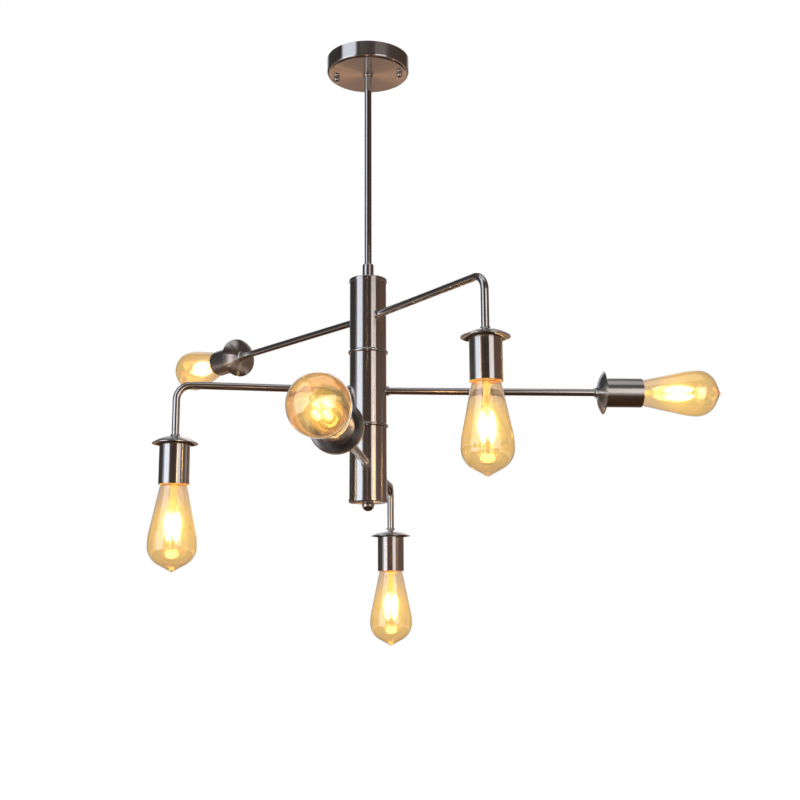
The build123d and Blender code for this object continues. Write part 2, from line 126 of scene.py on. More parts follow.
class Graph:
    """A node tree with short calls to add, set and join nodes."""

    def __init__(self, tree: bpy.types.NodeTree) -> None:
        self.tree = tree

    def add(self, kind: str, **settings: object) -> bpy.types.Node:
        """Add a node of a type, set its properties and return it."""
        node = self.tree.nodes.new(kind)
        for key, value in settings.items():
            setattr(node, key, value)
        return node

    def feed(self, entry: Socket, value: Source) -> None:
        """Link a socket to an input, or set the input to a number, a vector or a colour, which is a tuple."""
        if isinstance(value, Socket):
            self.tree.links.new(value, entry)
        else:
            entry.default_value = (*value, 1.0) if isinstance(value, tuple) else value

    def maths(self, operation: str, first: Source, second: Source | None = None) -> Socket:
        """Add a maths node on one or two sockets or numbers and return its result."""
        node = self.add("ShaderNodeMath", operation=operation)
        self.feed(node.inputs[0], first)
        if second is not None:
            self.feed(node.inputs[1], second)
        return node.outputs[0]

    def vectors(self, operation: str, first: Source, second: Source) -> Socket:
        """Add a vector maths node on two sockets or vectors and return its result."""
        node = self.add("ShaderNodeVectorMath", operation=operation)
        self.feed(node.inputs[0], first)
        self.feed(node.inputs["Scale" if operation == "SCALE" else 1], second)
        return node.outputs["Value" if operation == "DOT_PRODUCT" else 0]

    def noise(self, vector: Socket, scale: Source, detail: float = 2.0) -> Socket:
        """Add a noise texture and return its factor."""
        node = self.add("ShaderNodeTexNoise")
        for name, value in (("Vector", vector), ("Scale", scale), ("Detail", detail)):
            self.feed(node.inputs[name], value)
        return node.outputs["Fac"]

    def span(self, value: Source, source: tuple, target: tuple = (0.0, 1.0),
             change: str = "LINEAR") -> Socket:
        """Map one range on to another, and hold it within that.

        Args:
            value: what is mapped.
            source: the first range's ends, each a socket or a number.
            target: the second range's ends.
            change: how it goes from one end to the other.

        Returns:
            The mapped value.
        """
        node = self.add("ShaderNodeMapRange", interpolation_type=change)
        names = ("Value", "From Min", "From Max", "To Min", "To Max")
        for name, end in zip(names, (value, *source, *target)):
            self.feed(node.inputs[name], end)
        return node.outputs["Result"]

    def mix(self, factor: Source, first: Source, second: Source, kind: str = "RGBA") -> Socket:
        """Blend two colours, or two vectors, by a factor and return the result."""
        node = self.add("ShaderNodeMix", data_type=kind)
        for name, value in (("Factor", factor), ("A", first), ("B", second)):
            self.feed(node.inputs[name], value)
        return node.outputs["Result"]

    def seen(self) -> Socket:
        """Return 1 for rays from the camera, through glass and off gloss, and 0 for others."""
        path = self.add("ShaderNodeLightPath")
        direct = self.maths("MAXIMUM", path.outputs["Is Camera Ray"], path.outputs["Is Transmission Ray"])
        return self.maths("MAXIMUM", direct, path.outputs["Is Glossy Ray"])


class Effect(Enum):
    """Surface effects that several finishes share, by the name of their node group."""

    TURNED = "turned_metal"
    MOTTLED = "mottled_surface"
    BANDED = "banded_tone"


class EffectGroup:
    """Shader node groups of the shared effects, made once each."""

    @classmethod
    def get(cls, effect: Effect) -> bpy.types.NodeTree:
        """Return an effect's group, made when it is first asked for."""
        if effect.value not in bpy.data.node_groups:
            {Effect.TURNED: cls.turned, Effect.MOTTLED: cls.mottled, Effect.BANDED: cls.banded}[effect]()
        return bpy.data.node_groups[effect.value]

    @staticmethod
    def start(effect: Effect, inputs: dict[str, float | Colour], outputs: tuple[str, ...]) -> tuple:
        """Make an empty group with a vector input, further inputs and outputs.

        Args:
            effect: the effect.
            inputs: names and default values; a tuple of three is a colour.
            outputs: output names; those that end in "Color" are colours.

        Returns:
            The group's graph, and its input and output nodes.
        """
        group = bpy.data.node_groups.new(effect.value, "ShaderNodeTree")
        face = group.interface
        face.new_socket("Vector", in_out="INPUT", socket_type="NodeSocketVector")
        for key, value in inputs.items():
            kind = "NodeSocketColor" if isinstance(value, tuple) else "NodeSocketFloat"
            socket = face.new_socket(key, in_out="INPUT", socket_type=kind)
            socket.default_value = (*value, 1.0) if isinstance(value, tuple) else value
        for key in outputs:
            kind = "NodeSocketColor" if key.endswith("Color") else "NodeSocketFloat"
            face.new_socket(key, in_out="OUTPUT", socket_type=kind)
        graph = Graph(group)
        return graph, graph.add("NodeGroupInput"), graph.add("NodeGroupOutput")

    @staticmethod
    def surface(graph: Graph, enter: bpy.types.Node, leave: bpy.types.Node, pattern: Socket,
                height: Socket) -> None:
        """Let a noise pattern go between a group's two tones and two roughnesses, and put out a height."""
        tone = graph.mix(graph.span(pattern, NOISE_MIDDLE), enter.outputs["Shade"], enter.outputs["Tone"])
        rough = graph.span(pattern, NOISE_MIDDLE, (enter.outputs["Rough"], enter.outputs["Smooth"]))
        for name, value in (("Base Color", tone), ("Roughness", rough), ("Height", height)):
            graph.feed(leave.inputs[name], value)

    @classmethod
    def turned(cls) -> None:
        """Fine lathe lines round local Z, with broad soft marks: the finish of turned and spun metal."""
        graph, enter, leave = cls.start(
            Effect.TURNED,
            {"Tone": (0.6, 0.6, 0.6), "Shade": (0.5, 0.5, 0.5), "Lines": 900.0, "Smooth": 0.15,
             "Rough": 0.25}, ("Base Color", "Roughness", "Height"))
        parts = graph.add("ShaderNodeSeparateXYZ")
        graph.feed(parts.inputs[0], enter.outputs["Vector"])
        across, deep = (graph.maths("POWER", parts.outputs[axis], 2.0) for axis in "XY")
        ring = graph.add("ShaderNodeCombineXYZ")
        graph.feed(ring.inputs["X"], graph.maths("SQRT", graph.maths("ADD", across, deep)))
        graph.feed(ring.inputs["Z"], parts.outputs["Z"])
        lines = graph.noise(ring.outputs[0], enter.outputs["Lines"])
        marks = graph.noise(enter.outputs["Vector"], 38.0, 4.0)
        both = graph.maths("ADD", graph.maths("MULTIPLY", lines, 0.6), graph.maths("MULTIPLY", marks, 0.4))
        cls.surface(graph, enter, leave, both, lines)

    @classmethod
    def mottled(cls) -> None:
        """Soft even mottling between two tones: glaze, cast and pressed surfaces, and paint."""
        graph, enter, leave = cls.start(
            Effect.MOTTLED,
            {"Tone": (0.8, 0.8, 0.8), "Shade": (0.7, 0.7, 0.7), "Grain": 120.0, "Smooth": 0.2, "Rough": 0.35},
            ("Base Color", "Roughness", "Height"))
        cloud = graph.noise(enter.outputs["Vector"], enter.outputs["Grain"], 5.0)
        cls.surface(graph, enter, leave, cloud, cloud)

    @classmethod
    def banded(cls) -> None:
        """Two tones along local Z with a soft change between, and a glow: a lit bulb's glass, where the glow
        is painted light, and filaments.

        The glow is full at Centre and falls to nothing at Spread from it, both ways.
        """
        graph, enter, leave = cls.start(
            Effect.BANDED,
            {"Tone": (1.0, 0.8, 0.5), "Shade": (0.9, 0.6, 0.3), "Low": 0.0, "High": 1.0, "Ripple": 60.0,
             "Glow": (1.0, 1.0, 1.0), "Centre": 0.0, "Spread": 100.0},
            ("Base Color", "Emission Color", "Height"))
        given = enter.outputs
        parts = graph.add("ShaderNodeSeparateXYZ")
        graph.feed(parts.inputs[0], given["Vector"])
        level = parts.outputs["Z"]
        cloud = graph.noise(given["Vector"], given["Ripple"])
        drift = graph.span(cloud, NOISE_MIDDLE, (-TONE_DRIFT, TONE_DRIFT))
        ramp = graph.span(level, (given["Low"], given["High"]), change="SMOOTHSTEP")
        tone = graph.mix(graph.maths("ADD", ramp, drift), given["Shade"], given["Tone"])
        away = graph.maths("ABSOLUTE", graph.maths("SUBTRACT", level, given["Centre"]))
        fade = graph.span(away, (0.0, given["Spread"]), (1.0, 0.0), "SMOOTHSTEP")
        light = graph.vectors("SCALE", graph.vectors("MULTIPLY", tone, given["Glow"]), fade)
        for name, value in (("Base Color", tone), ("Emission Color", light), ("Height", cloud)):
            graph.feed(leave.inputs[name], value)


@dataclass(frozen=True)
class AxisFrame:
    """A point and a direction that a piece is drawn round: local Z runs along the direction.

    A bent tube's point is the corner of its two straight runs. Its second run is given as well, and the
    length that its bend takes up of each.
    """

    origin: Vector
    along: Vector
    then: Vector | None = None
    bend: float = 0.0

    def matrix(self) -> Matrix:
        """Turn local coordinates into the frame's."""
        return Matrix.Translation(self.origin) @ self.along.to_track_quat("Z", "Y").to_matrix().to_4x4()

    def lay(self, local: np.ndarray) -> np.ndarray:
        """Turn arrays of local points into the frame's."""
        matrix = np.array(self.matrix())
        return local @ matrix[:3, :3].T + matrix[:3, 3]


WORLD_AXIS = AxisFrame(Vector((0, 0, 0)), Vector((0, 0, 1)))


@dataclass(frozen=True)
class Finish:
    """A surface finish: an effect's inputs, the shader's own constant sockets, relief and brush marks."""

    name: str
    effect: Effect
    inputs: dict[str, float | Colour]
    shader: dict[str, float | Colour]
    bump: float = 0.0
    brushed: float = 0.0

    def material(self, place: AxisFrame = WORLD_AXIS, tag: str = "") -> bpy.types.Material:
        """Make the material for pieces round an axis, or return the one already made.

        Args:
            place: the axis whose local coordinates the effect reads.
            tag: a word that keeps materials of different axes apart.

        Returns:
            The material.
        """
        title = f"{self.name}_{tag}" if tag else self.name
        if title in bpy.data.materials:
            return bpy.data.materials[title]
        material = bpy.data.materials.new(title)
        material.use_nodes = True
        graph = Graph(material.node_tree)
        shader = material.node_tree.nodes["Principled BSDF"]
        for key, value in self.shader.items():
            graph.feed(shader.inputs[key], value)
        point = graph.add("ShaderNodeTexCoord").outputs["Object"]
        local = graph.add("ShaderNodeMapping", vector_type="TEXTURE")
        turn = place.matrix().to_euler()
        for key, value in (("Vector", point), ("Location", place.origin), ("Rotation", turn)):
            graph.feed(local.inputs[key], value)
        effect = graph.add("ShaderNodeGroup", node_tree=EffectGroup.get(self.effect))
        for key, value in {"Vector": local.outputs["Vector"], **self.inputs}.items():
            graph.feed(effect.inputs[key], value)
        for socket in effect.outputs:
            used = socket.name != "Emission Color" or "Emission Strength" in self.shader
            if used and socket.name in shader.inputs:
                graph.feed(shader.inputs[socket.name], socket)
        if self.brushed:
            graph.feed(shader.inputs["Anisotropic"], self.brushed)
            graph.feed(shader.inputs["Anisotropic Rotation"], QUARTER)
            self.brush(graph, shader, point, place)
        if self.bump:
            bump = graph.add("ShaderNodeBump")
            relief = effect.outputs["Height"]
            for key, value in (("Strength", self.bump), ("Distance", BUMP_DEPTH), ("Height", relief)):
                graph.feed(bump.inputs[key], value)
            graph.feed(shader.inputs["Normal"], bump.outputs["Normal"])
        return material

    @staticmethod
    def brush(graph: Graph, shader: bpy.types.Node, point: Socket, place: AxisFrame) -> None:
        """Lay the brush marks in circles round the axis: the axis crossed with the way from it to the point.

        A bent tube's axis goes over from its first run to its second within the bend.
        """
        offset = graph.vectors("SUBTRACT", point, place.origin)
        course = place.along
        if place.then is not None:
            reach = graph.vectors("DOT_PRODUCT", offset, place.along)
            turned = graph.span(reach, (-place.bend, -BEND_END * place.bend))
            course = graph.mix(turned, place.along, place.then, "VECTOR")
        around = graph.vectors("CROSS_PRODUCT", course, offset)
        turn = graph.add("ShaderNodeVectorTransform", vector_type="VECTOR", convert_from="OBJECT",
                         convert_to="WORLD")
        graph.feed(turn.inputs[0], around)
        graph.feed(shader.inputs["Tangent"], turn.outputs[0])


METAL = {"Metallic": 1.0}
NICKEL = {"Tone": (0.79, 0.775, 0.77), "Shade": (0.755, 0.74, 0.735), "Lines": 1400.0}
SATIN_NICKEL = Finish("turned_nickel", Effect.TURNED, NICKEL | {"Smooth": 0.17, "Rough": 0.19}, METAL,
                      bump=0.001, brushed=1.0)
SOFT_NICKEL = Finish("soft_nickel", Effect.TURNED, NICKEL | {"Smooth": 0.27, "Rough": 0.30}, METAL,
                     bump=0.001, brushed=0.3)
STEM_NICKEL = Finish(
    "stem_nickel", Effect.MOTTLED,
    {"Tone": (0.79, 0.775, 0.77), "Shade": (0.75, 0.735, 0.73), "Grain": 90.0, "Smooth": 0.10, "Rough": 0.12},
    METAL, brushed=0.3)
ARM_NICKEL = Finish(
    "arm_nickel", Effect.MOTTLED,
    {"Tone": (0.82, 0.805, 0.80), "Shade": (0.77, 0.755, 0.75), "Grain": 90.0, "Smooth": 0.17, "Rough": 0.20},
    METAL, brushed=0.4)
BALL_NICKEL = Finish(
    "polished_nickel", Effect.MOTTLED,
    {"Tone": (0.80, 0.785, 0.78), "Shade": (0.74, 0.725, 0.72), "Grain": 90.0, "Smooth": 0.10, "Rough": 0.15},
    METAL)
ZINC_STEEL = Finish(
    "zinc_plate", Effect.MOTTLED,
    {"Tone": (0.70, 0.71, 0.72), "Shade": (0.58, 0.59, 0.60), "Grain": 160.0, "Smooth": 0.28, "Rough": 0.42},
    METAL, bump=0.05)
PORCELAIN = Finish(
    "glazed_porcelain", Effect.MOTTLED,
    {"Tone": (0.88, 0.86, 0.82), "Shade": (0.80, 0.78, 0.74), "Grain": 90.0, "Smooth": 0.18, "Rough": 0.28},
    {"Coat Weight": 0.4}, bump=0.03)
BRASS = Finish(
    "pressed_brass", Effect.TURNED,
    {"Tone": (0.86, 0.68, 0.34), "Shade": (0.74, 0.56, 0.26), "Lines": 700.0, "Smooth": 0.22, "Rough": 0.34},
    METAL, bump=0.05)
BULB_BASE = Finish(
    "bulb_base", Effect.TURNED,
    {"Tone": (0.80, 0.79, 0.77), "Shade": (0.68, 0.67, 0.65), "Lines": 500.0, "Smooth": 0.2, "Rough": 0.32},
    METAL, bump=0.04)
INSULATOR = Finish(
    "black_insulator", Effect.MOTTLED,
    {"Tone": (0.03, 0.03, 0.035), "Shade": (0.015, 0.015, 0.017), "Grain": 300.0, "Smooth": 0.12,
     "Rough": 0.22}, {}, bump=0.03)
# The emission paints the filaments' light into the glass: a painted glow, strongest round the filaments'
# height and fading away from it.
AMBER_GLASS = Finish(
    "amber_lustre_glass", Effect.BANDED,
    {"Tone": (0.95, 0.73, 0.41), "Shade": (0.92, 0.73, 0.53), "Low": 0.06, "High": 0.11, "Ripple": 40.0,
     "Glow": (1.0, 0.80, 0.30), "Centre": 0.106, "Spread": 0.05},
    {"Roughness": 0.0, "IOR": 1.5, "Transmission Weight": 1.0, "Thin Film Thickness": 268.0,
     "Thin Film IOR": 1.88, "Coat Weight": 0.6, "Coat Roughness": 0.0, "Coat IOR": 1.9,
     "Emission Strength": 0.07})
# The emission is a painted glow: the filaments' light shown in the stem's glass.
STEM_GLASS = Finish(
    "stem_glass", Effect.BANDED,
    {"Tone": (1.0, 0.86, 0.52), "Shade": (1.0, 0.80, 0.42), "Low": 0.05, "High": 0.09, "Ripple": 90.0,
     "Glow": (1.0, 0.84, 0.40), "Centre": 0.05, "Spread": 0.12},
    {"Roughness": 0.05, "IOR": 1.45, "Transmission Weight": 1.0, "Emission Strength": 0.35})
FILAMENT = Finish(
    "lit_filament", Effect.BANDED,
    {"Tone": (1.0, 0.70, 0.34), "Shade": (1.0, 0.62, 0.28), "Low": 0.09, "High": 0.13, "Ripple": 400.0},
    {"Emission Strength": 10.0, "Roughness": 0.5})
LEAD_WIRE = Finish(
    "lead_wire", Effect.MOTTLED,
    {"Tone": (0.85, 0.70, 0.50), "Shade": (0.72, 0.58, 0.40), "Grain": 900.0, "Smooth": 0.25, "Rough": 0.4},
    METAL)
# Warm gold that stands in for the bulb's light inside the nickel cup: painted lamplight, not the cup's own
# colour.
LAMPLIT_CUP_PAINT = Finish(
    "cup_lining", Effect.MOTTLED,
    {"Tone": (0.94, 0.66, 0.22), "Shade": (0.88, 0.58, 0.17), "Grain": 220.0, "Smooth": 0.28, "Rough": 0.40},
    {"Coat Weight": 0.2})
MATT = {"Specular IOR Level": 0.0}
DULL = {"Grain": 1.0, "Smooth": 0.9, "Rough": 1.0}
GROUND = Finish("dim_ground", Effect.MOTTLED,
                DULL | {"Tone": (0.10, 0.05, 0.03), "Shade": (0.07, 0.035, 0.02)}, MATT)
CEILING = Finish("dim_ceiling", Effect.MOTTLED,
                 DULL | {"Tone": (0.16, 0.15, 0.14), "Shade": (0.13, 0.12, 0.115)}, MATT)
FLOOR = Finish(
    "pale_floor", Effect.MOTTLED,
    {"Tone": (0.80, 0.78, 0.75), "Shade": (0.76, 0.74, 0.71), "Grain": 1.5, "Smooth": 0.5, "Rough": 0.6}, {})


def wall_paint(side: str, tone: Colour, shade: Colour) -> Finish:
    """Dim paint of one side of the room, from its tone higher up to its shade near the ground."""
    return Finish(
        f"dim_{side}", Effect.BANDED,
        {"Tone": tone, "Shade": shade, "Low": -1.6, "High": -0.9, "Ripple": 0.6},
        MATT | {"Emission Strength": 1.0, "Roughness": 1.0})


@dataclass(frozen=True)
class Bloom:
    """Light given off evenly through a piece's volume, with no surface of its own."""

    name: str
    colour: Colour
    strength: float

    def material(self, level: float) -> bpy.types.Material:
        """Make the material at a share of its strength, or return the one already made."""
        name = f"{self.name}_{level:.2f}"
        if name in bpy.data.materials:
            return bpy.data.materials[name]
        material = bpy.data.materials.new(name)
        material.use_nodes = True
        graph = Graph(material.node_tree)
        nodes = material.node_tree.nodes
        nodes.remove(nodes["Principled BSDF"])
        path = graph.add("ShaderNodeLightPath")
        direct = graph.maths("LESS_THAN", path.outputs["Glossy Depth"], 0.5)
        light = graph.add("ShaderNodeEmission")
        graph.feed(light.inputs["Color"], self.colour)
        graph.feed(light.inputs["Strength"], graph.maths("MULTIPLY", direct, self.strength * level))
        graph.feed(nodes["Material Output"].inputs["Volume"], light.outputs[0])
        return material


LEVELS = {"lower_straight_bulb": {"filament_halo": 0.27, "bulb_bloom": 0.10, "bulb_haze": 2.4}}
HALO = Bloom("filament_halo", (1.0, 0.90, 0.72), 240.0)
BLOOM = Bloom("bulb_bloom", (1.0, 0.86, 0.58), 26.0)
HAZE = Bloom("bulb_haze", (1.0, 0.71, 0.10), 5.2)


class Shape:
    """Meshes worked out as arrays: outlines turned round an axis and tubes along a path."""

    @staticmethod
    def bend(first: Point, pull: Point, last: Point, count: int = 12) -> np.ndarray:
        """Quadratic curve: the three points weighted by (1-t) squared, 2t(1-t) and t squared."""
        t = np.linspace(0, 1, count)[:, None]
        return (1 - t) ** 2 * np.array(first) + 2 * t * (1 - t) * np.array(pull) + t**2 * np.array(last)

    @staticmethod
    def grid_mesh(name: str, points: np.ndarray, close_rows: bool = False, close_columns: bool = True,
                  smooth: bool = True) -> Piece:
        """Mesh a grid of points.

        Args:
            name: the new object's name.
            points: rows by columns by 3, in the frame's metres.
            close_rows: whether the last row joins the first.
            close_columns: whether the last column joins the first.
            smooth: whether it is smooth-shaded.

        Returns:
            The object, linked to the scene.
        """
        rows, columns = points.shape[:2]
        row = np.arange(rows if close_rows else rows - 1)[:, None]
        column = np.arange(columns if close_columns else columns - 1)[None, :]
        here, beyond = row * columns, (row + 1) % rows * columns
        turn = (column + 1) % columns
        faces = np.stack([here + column, here + turn, beyond + turn, beyond + column], axis=-1).reshape(-1, 4)
        mesh = bpy.data.meshes.new(name)
        mesh.from_pydata(points.reshape(-1, 3).tolist(), [], faces.tolist())
        mesh.validate()
        mesh.polygons.foreach_set("use_smooth", np.full(len(mesh.polygons), smooth))
        mesh.update()
        piece = bpy.data.objects.new(name, mesh)
        bpy.context.scene.collection.objects.link(piece)
        return piece

    @classmethod
    def lathe(cls, name: str, outline: np.ndarray, place: AxisFrame, segments: int = 72,
              close: bool = False, smooth: bool = True) -> Piece:
        """Turn an outline of (radius, distance along the axis) round an axis.

        Each outline point becomes a circle: radius times (cosine, sine) across, and its distance along.

        Args:
            name: the new object's name.
            outline: points by 2.
            place: the axis.
            segments: points round each circle.
            close: whether the outline's end joins its start.
            smooth: whether it is smooth-shaded.

        Returns:
            The object.
        """
        angle = np.linspace(0, FULL_TURN, segments, endpoint=False)
        radius, along = outline[:, :1], outline[:, 1:]
        local = np.stack(np.broadcast_arrays(radius * np.cos(angle), radius * np.sin(angle), along), axis=-1)
        return cls.grid_mesh(name, place.lay(local), close, smooth=smooth)

    @classmethod
    def disc(cls, name: str, radius: float, height: float) -> Piece:
        """Level disc round the column, with a pinhole in its middle."""
        reach = np.linspace(PINHOLE, radius, 12)
        return cls.lathe(name, np.stack([reach, np.full_like(reach, height)], axis=-1), WORLD_AXIS, 64)

    @classmethod
    def tube(cls, name: str, path: np.ndarray, radius: float, place: AxisFrame, sides: int = 12) -> Piece:
        """Round tube along a path of local points, with its circles square to the path.

        At each point the circle lies in the plane of two directions square to the path's tangent.

        Args:
            name: the new object's name.
            path: points by 3, in the axis's local coordinates.
            radius: the tube's radius.
            place: the axis.
            sides: points round the tube.

        Returns:
            The object, its ends drawn to a point.
        """
        tangent = np.gradient(path, axis=0)
        tangent /= np.linalg.norm(tangent, axis=1, keepdims=True)
        side = np.cross(tangent, ASKEW)
        side /= np.linalg.norm(side, axis=1, keepdims=True)
        other = np.cross(tangent, side)
        angle = np.linspace(0, FULL_TURN, sides, endpoint=False)
        size = np.full(len(path), radius)
        size[[0, -1]] = radius * TUBE_END
        ring = np.cos(angle)[None, :, None] * side[:, None] + np.sin(angle)[None, :, None] * other[:, None]
        return cls.grid_mesh(name, place.lay(path[:, None] + size[:, None, None] * ring))

    @staticmethod
    def join(name: str, pieces: list[Piece]) -> Piece:
        """Join pieces of one finish into one object."""
        with bpy.context.temp_override(active_object=pieces[0], selected_editable_objects=pieces):
            bpy.ops.object.join()
        pieces[0].name = name
        return pieces[0]


@dataclass(frozen=True)
class Teardrop:
    """Outline of a teardrop bulb, measured back from its tip."""

    radius: float = 32.0 * MM
    belly: float = 34.0 * MM
    crown_radius: float = 17.0 * MM
    crown: float = 9.2 * MM
    cone_tilt: float = math.radians(28.1)
    pip_radius: float = 2.8 * MM
    taper_radius: float = 29.8 * MM
    taper: float = 54.0 * MM
    shoulder_radius: float = 18.3 * MM
    shoulder: float = 109.0 * MM
    neck_radius: float = 13.2 * MM
    neck: float = 117.5 * MM

    def belly_arc(self, radius: float, along: float, inset: float, count: int) -> np.ndarray:
        """Arc from the widest circle to a point at a radius and a distance along, upright where it starts.

        Its radius is the chord squared over twice the fall in radius.
        """
        fall = self.radius - inset - radius
        reach = self.belly - along
        arc_radius = (fall**2 + reach**2) / (2 * fall)
        angle = np.linspace(0, math.asin(reach / arc_radius), count)
        return np.stack([self.radius - inset - arc_radius + arc_radius * np.cos(angle),
                         -self.belly + arc_radius * np.sin(angle)], axis=-1)

    def outline(self, inset: float = 0.0) -> np.ndarray:
        """Points of (radius, distance from the tip, negative towards the neck), from the neck to the tip.

        Args:
            inset: how far inside the outer face.

        Returns:
            Points by 2.
        """
        crown_radius = self.crown_radius - inset * math.sin(self.cone_tilt)
        crown = self.crown + inset * math.cos(self.cone_tilt)
        pip = crown - (crown_radius - self.pip_radius) * math.tan(self.cone_tilt)
        tip = max(pip - self.pip_radius * 0.6, inset)
        nose = Shape.bend((0, -tip), (self.pip_radius * 0.7, -tip), (self.pip_radius, -pip), 8)
        cone = np.linspace((self.pip_radius, -pip), (crown_radius, -crown), 8)
        dome = self.belly_arc(crown_radius, crown, inset, 24)[::-1]
        waist = self.belly_arc(self.taper_radius - inset, self.taper, inset, 14)
        flank = np.linspace((self.taper_radius - inset, -self.taper),
                            (self.shoulder_radius - inset, -self.shoulder), 14)
        slope = (self.taper_radius - self.shoulder_radius) / (self.shoulder - self.taper)
        pull = (self.shoulder_radius - inset - slope * (self.neck - self.shoulder) * 0.6,
                -self.shoulder - (self.neck - self.shoulder) * 0.6)
        neck = Shape.bend((self.shoulder_radius - inset, -self.shoulder), pull,
                          (self.neck_radius - inset, -self.neck), 10)
        return np.concatenate([nose, cone[1:], dome[1:], waist[1:], flank[1:], neck[1:]])[::-1]


@dataclass(frozen=True)
class Bulb:
    """One lit bulb: envelope, screw base, filaments on their glass stem, and the glow round them."""

    name: str
    tier: str
    place: AxisFrame
    tip: float
    base_end: float
    drop: Teardrop = Teardrop()
    glass_wall: float = 1.0 * MM
    base_radius: float = 12.9 * MM
    thread_depth: float = 0.6 * MM
    thread_pitch: float = 3.63 * MM
    thread_ease: float = 2.0 * MM
    shell_start: float = 7.2 * MM
    shell_gap: float = 0.2 * MM
    shell_rim: float = 3.0 * MM
    contact_radius: float = 4.5 * MM
    contact_height: float = 1.6 * MM
    insulator_pull: tuple[float, float] = (10.5 * MM, 3.0 * MM)
    filament_count: int = 4
    filament_radius: float = 0.95 * MM
    filament_ring: float = 8.0 * MM
    filament_top: float = 76.0 * MM
    filament_length: float = 38.0 * MM
    filament_lean: float = 0.85
    stem_radius: float = 4.6 * MM
    stem_tip: float = 82.0 * MM
    stem_gap: float = 1.3 * MM
    flare: float = 9.0 * MM
    pinch: float = 6.0 * MM
    pinch_taper: float = 0.8
    wire_radius: float = 0.35 * MM
    wire_dip: float = 3.0 * MM
    halo_radius: float = 5.5 * MM
    halo_reach: float = 0.54
    halo_ring: float = 0.93
    halo_shift: float = 1.5 * MM
    bloom_radius: float = 15.0 * MM
    haze_radius: float = 21.5 * MM
    glow_stretch: float = 1.45
    glow_shift: float = 5.0 * MM
    cup_bore: float = 19.15 * MM
    lining_depth: float = 20.0 * MM
    lining_wall: float = 0.25 * MM
    lining_gap: float = 0.03 * MM
    lining_inset: float = 0.5 * MM
    lamp_power: float = 0.9
    lamp_radius: float = 14.0 * MM
    lamp_colour: Colour = (1.0, 0.62, 0.27)
    levels: dict[str, float] = field(default_factory=dict)

    @property
    def middle(self) -> float:
        """Distance along the axis to the middle of the filaments."""
        return self.tip - self.filament_top + self.filament_length / 2

    def spokes(self) -> list[np.ndarray]:
        """Directions from the axis to each filament."""
        turns = FULL_TURN * (np.arange(self.filament_count) + 0.5) / self.filament_count
        return [np.array([math.cos(turn), math.sin(turn), 0.0]) for turn in turns]

    def build(self) -> None:
        """Build the bulb's pieces on its two bodies, and the cup's lining on its tier."""
        self.lining()
        self.envelope()
        self.screw_base()
        self.stem()
        self.filaments()
        self.glow()
        self.lamp()

    def finish_piece(self, piece: Piece, finish: Finish, body: str) -> None:
        """Give a piece its material and body."""
        piece.data.materials.append(finish.material(self.place, self.name))
        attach(piece, body)

    def lining(self) -> None:
        """Thin band inside the cup's mouth painted warm gold, a painted glow of the bulb's light on the
        nickel: a closed ring, its section a slim upright rectangle.
        """
        inverse = self.place.matrix().inverted()
        cup = frame["nodes"][self.name.replace("_bulb", "_cup")].data
        mouth = max((inverse @ vertex.co).z for vertex in cup.vertices)
        outer = self.cup_bore - self.lining_gap
        inner = outer - self.lining_wall
        low, high = mouth - self.lining_depth, mouth - self.lining_inset
        outline = np.array([(outer, low), (outer, high), (inner, high), (inner, low)])
        ring = Shape.lathe(f"{self.name}_cup_lining", outline, self.place, close=True, smooth=False)
        self.finish_piece(ring, LAMPLIT_CUP_PAINT, f"{self.tier}_tier")

    def envelope(self) -> None:
        """Thin glass teardrop with an outer and an inner face, which meet at the tip and stay open at the
        neck.
        """
        outer = self.drop.outline()
        inner = self.drop.outline(self.glass_wall)[::-1]
        outline = np.concatenate([outer, inner]) + (0, self.tip)
        glass = Shape.lathe(f"{self.name}_envelope", outline, self.place, 96)
        self.finish_piece(glass, AMBER_GLASS, self.name)
        glass.visible_shadow = False
        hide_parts(f"{self.name}_glass")

    def screw_base(self) -> None:
        """Rolled screw thread on the base's shell, with a glazed insulator and a solder contact.

        The thread's radius goes with the cosine of the distance along in pitches less the angle round.
        """
        top = self.tip - self.drop.neck - self.shell_gap
        start = self.base_end + self.shell_start
        angle = np.linspace(0, FULL_TURN, 64, endpoint=False)
        along = np.linspace(start, top, 90)[:, None]
        ease = (np.clip((along - start) / self.thread_ease, 0, 1)
                * np.clip((top - self.shell_rim - along) / self.thread_ease, 0, 1))
        phase = FULL_TURN * along / self.thread_pitch - angle
        radius = self.base_radius - self.thread_depth * ease * (0.5 + 0.5 * np.cos(phase))
        across, deep = radius * np.cos(angle), radius * np.sin(angle)
        local = np.stack(np.broadcast_arrays(across, deep, along), axis=-1)
        thread = Shape.grid_mesh(f"{self.name}_thread", self.place.lay(local))
        edge = (self.contact_radius, self.base_end + self.contact_height)
        contact = Shape.bend((0, self.base_end), (self.contact_radius - 0.1 * MM, self.base_end), edge)
        tip = Shape.lathe(f"{self.name}_contact", contact, self.place, 32)
        pull = (self.insulator_pull[0], self.base_end + self.insulator_pull[1])
        insulator = Shape.bend(edge, pull, (self.base_radius, start))
        collar = Shape.lathe(f"{self.name}_insulator", insulator, self.place, 48)
        for piece, finish in ((thread, BULB_BASE), (tip, BULB_BASE), (collar, INSULATOR)):
            self.finish_piece(piece, finish, f"{self.name}_base")
        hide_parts(f"{self.name}_base")

